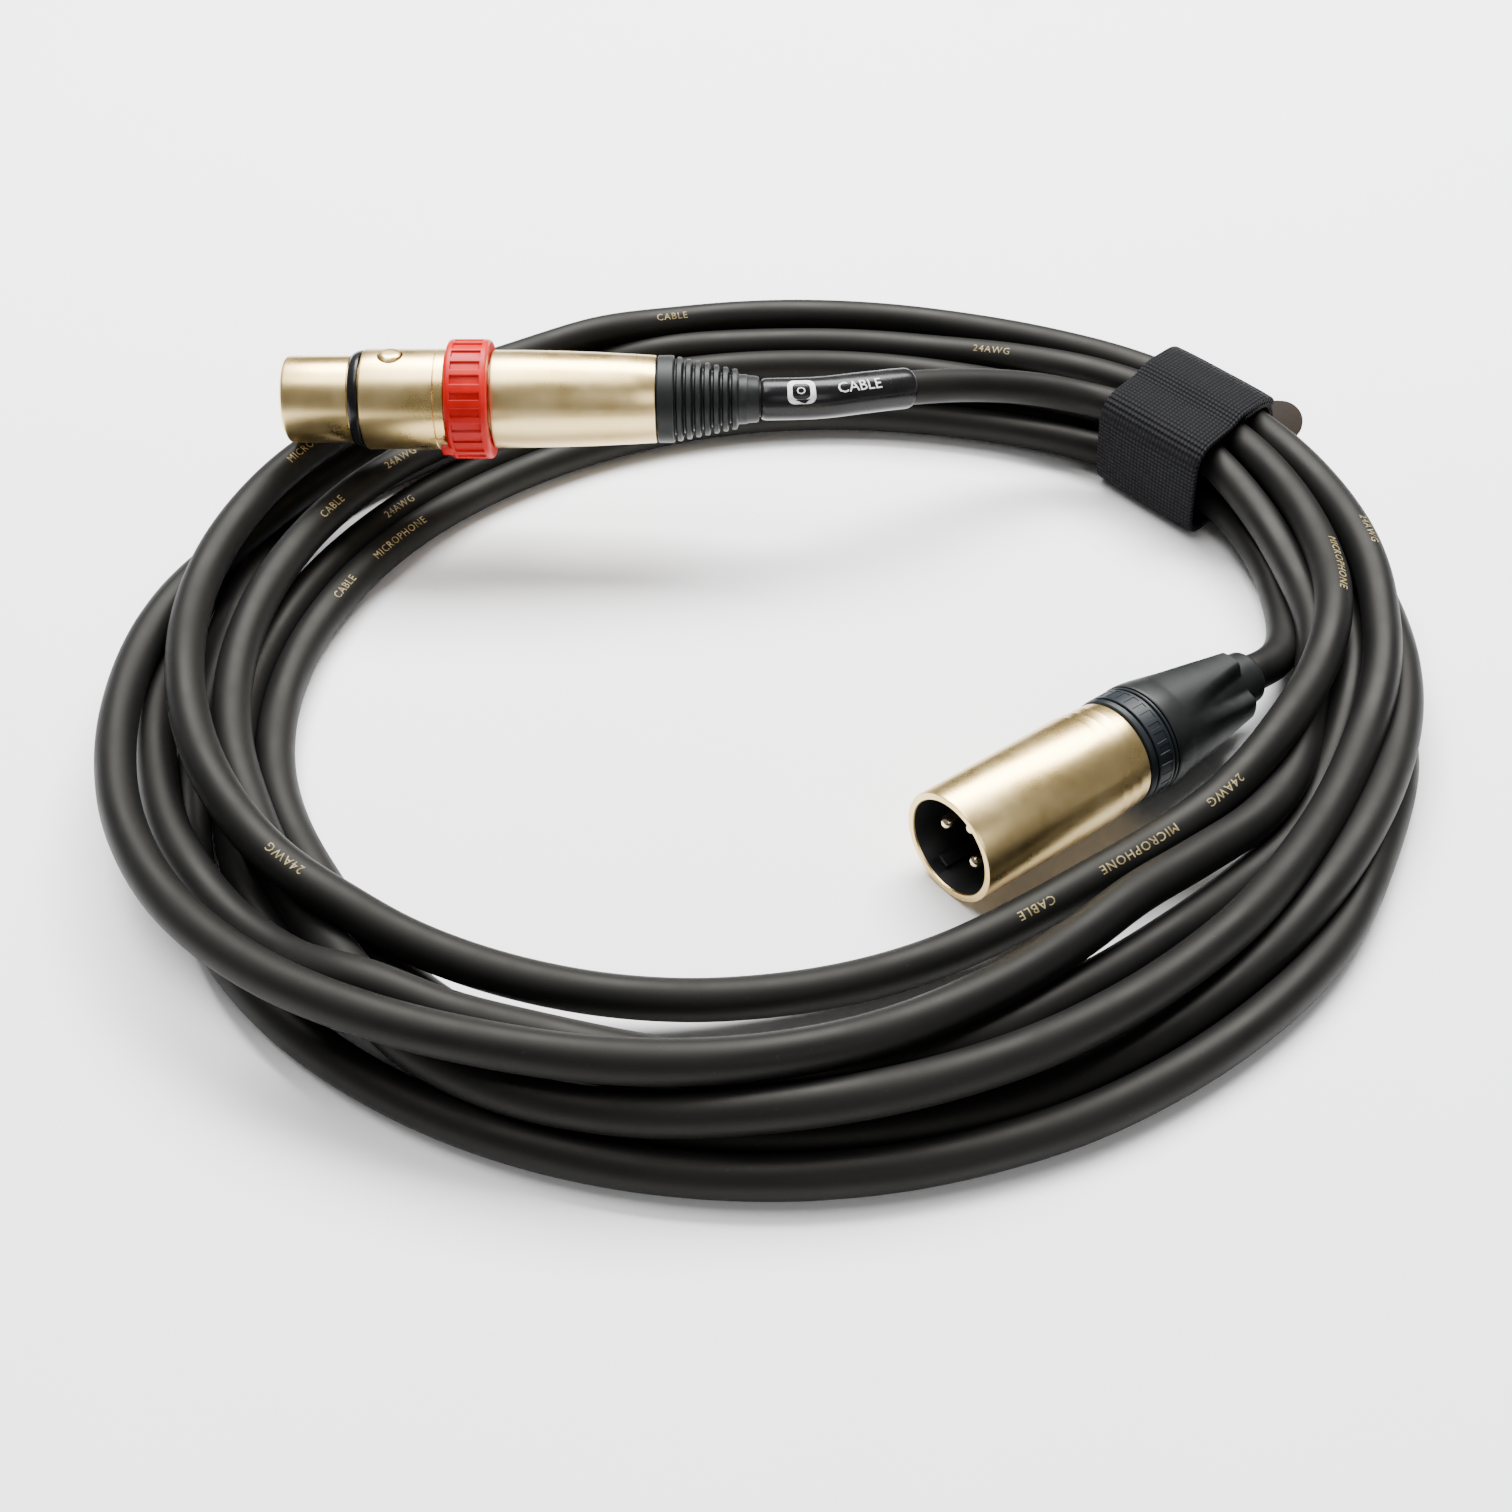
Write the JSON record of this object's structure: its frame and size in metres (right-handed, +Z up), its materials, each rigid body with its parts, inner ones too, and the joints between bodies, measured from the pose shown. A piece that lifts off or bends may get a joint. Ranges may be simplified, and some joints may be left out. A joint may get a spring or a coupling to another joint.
{
  "type": "xlr cable coil",
  "caption": "Loosely coiled microphone cable held by a hook-and-loop strap, with a male plug and a female plug whose ribbed ring turns to mute it.",
  "frame": {"origin": "middle of the plan box, on the surface that the coil lies on", "axes": "+Z up from the surface; +X along the female plug's axis, from its nose to its tail; +Y towards the side of the coil that the tie and the female plug are on"},
  "size_m": [0.228, 0.2216, 0.0403],
  "materials": {
    "jacket": "matte flexible jacket with a soft highlight",
    "shrink_sleeve": "glossy heat-shrink sleeve with a light printed label",
    "tie_fabric": "woven strap",
    "hook_tape": "brown hook tape",
    "satin_nickel": "satin nickel plating",
    "seal_rubber": "glossy black",
    "spring_steel": "bright",
    "black_plastic": "moulded",
    "coding_plastic": "moulded, semi-matte",
    "contact_gold": "gold plated",
    "red_plastic": "moulded, semi-gloss",
    "magnet": "plated",
    "glass": "clear",
    "circuit_board": "coated board",
    "boot_rubber": "moulded, semi-matte",
    "wire_screen": "bare copper strands",
    "wire_hot": "wire insulation",
    "wire_cold": "wire insulation"
  },
  "bodies": {
    "cable_assembly": {"cable_coil": "jacket", "cable_to_female": "jacket", "cable_to_male": "jacket", "label_sleeve": "shrink_sleeve", "tie_strap": "tie_fabric", "tie_hook_tab": "hook_tape", "female_front_shell": "satin_nickel", "female_seal_ring": "seal_rubber", "female_latch_spring": "spring_steel", "female_insert": "black_plastic", "female_contact_1": "contact_gold", "female_contact_2": "contact_gold", "female_contact_3": "contact_gold", "reed_switch": "glass", "switch_board": "circuit_board", "female_rear_shell": "satin_nickel", "female_chuck": "black_plastic", "female_boot": "boot_rubber", "female_core_1": "wire_screen", "female_core_2": "wire_hot", "female_core_3": "wire_cold", "male_shell": "satin_nickel", "male_insert": "black_plastic", "male_pin_1": "contact_gold", "male_pin_2": "contact_gold", "male_pin_3": "contact_gold", "male_ground_clip": "spring_steel", "male_coding_ring": "coding_plastic", "male_chuck": "black_plastic", "male_boot": "boot_rubber", "male_core_1": "wire_screen", "male_core_2": "wire_hot", "male_core_3": "wire_cold"},
    "mute_ring": {"mute_ring": "red_plastic", "mute_magnet": "magnet"},
    "latch": {"female_latch_button": "satin_nickel"}
  },
  "joints": [
    {"name": "mute_ring_turn", "type": "hinge", "parent": "cable_assembly", "child": "mute_ring", "pos_m": [-0.0921, 0.0495, 0.0293], "axis": [1, 0, 0], "range_deg": [0, 40]},
    {"name": "latch_press", "type": "slide", "parent": "cable_assembly", "child": "latch", "axis": [0, 0, -1], "range_m": [0, 0.001], "stiffness_N_per_m": 800, "springref_m": -0.0005, "deforming": ["female_latch_spring"]}
  ]
}
